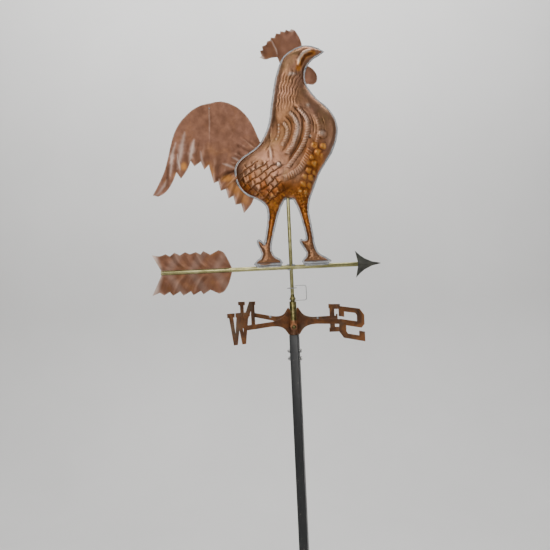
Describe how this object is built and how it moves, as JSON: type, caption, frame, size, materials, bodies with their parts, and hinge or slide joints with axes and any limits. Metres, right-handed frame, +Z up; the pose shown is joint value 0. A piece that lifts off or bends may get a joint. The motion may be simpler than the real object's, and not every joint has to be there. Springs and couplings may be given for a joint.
{
  "type": "weather vane",
  "caption": "Weather vane: a full-bodied copper rooster on a brass arrow turns on a spindle above four cardinal letters on a square pole.",
  "frame": {"origin": "middle of the pole's foot, on the flat underside of its end plug", "axes": "+Z up along the mast and the turning axis; +X is where the arrow and the beak point at rest; the letters stand at 45 degrees to it"},
  "size_m": [0.643, 0.3368, 1.803],
  "materials": {
    "body_copper": "hammered and embossed copper with a khaki-brown patina, roughness about 0.4",
    "sheet_copper": "flat copper sheet, matt pinkish-brown oxide, roughness about 0.6",
    "letter_copper": "cut copper sheet, dull orange-brown oxide, roughness about 0.55",
    "tube_brass": "drawn brass, yellow-green with olive patina, roughness about 0.4",
    "turned_brass": "turned brass, blotchy patina, roughness about 0.45",
    "solder": "light grey soft solder, slightly lumpy, roughness about 0.45",
    "bright_steel": "bright steel, roughness about 0.35",
    "head_casting": "dull grey-brown cast brass, roughness about 0.6",
    "pole_paint": "dark grey paint, semi-matt, roughness about 0.5",
    "plug_plastic": "black moulded plastic, roughness about 0.6"
  },
  "bodies": {
    "mast": {"pole": "pole_paint", "pole_end_plug": "plug_plastic", "bearing_sleeve": "turned_brass", "sleeve_neck": "turned_brass", "spindle_guide": "bright_steel", "spindle": "bright_steel", "thrust_ball": "bright_steel", "pole_bolt_upper": "bright_steel", "pole_bolt_lower": "bright_steel", "pole_nut_upper": "bright_steel", "pole_nut_lower": "bright_steel", "pole_washer_upper_head": "bright_steel", "pole_washer_upper_nut": "bright_steel", "pole_washer_lower_head": "bright_steel", "pole_washer_lower_nut": "bright_steel"},
    "vane": {"vane_tube": "tube_brass", "lower_bush": "turned_brass", "bearing_seat": "bright_steel", "drip_washer": "bright_steel", "keeper_clip": "bright_steel", "arrow_shaft": "tube_brass", "fletching_upper": "sheet_copper", "fletching_lower": "sheet_copper", "arrowhead": "head_casting", "rooster_shell_right": "body_copper", "rooster_shell_left": "body_copper", "comb": "sheet_copper", "wattle": "sheet_copper", "tail": "sheet_copper", "seam_solder_breast": "solder", "seam_solder_chin": "solder", "seam_solder_front_leg": "solder", "seam_solder_rear_leg": "solder", "seam_solder_rump": "solder", "seam_solder_neck": "solder", "seam_solder_crown": "solder", "foot_pad_rear": "solder", "foot_pad_front": "solder"},
    "cardinals": {"cardinal_collar": "letter_copper", "screw_boss": "turned_brass", "set_screw": "turned_brass", "arm_north": "letter_copper", "arm_east": "letter_copper", "arm_south": "letter_copper", "arm_west": "letter_copper"}
  },
  "joints": [
    {"name": "vane_spin", "type": "hinge", "parent": "mast", "child": "vane", "pos_m": [0, 0, 1.14], "axis": [0, 0, 1], "continuous": true},
    {"name": "cardinals_turn", "type": "hinge", "parent": "mast", "child": "cardinals", "pos_m": [0, 0, 0.9885], "axis": [0, 0, 1], "continuous": true}
  ]
}
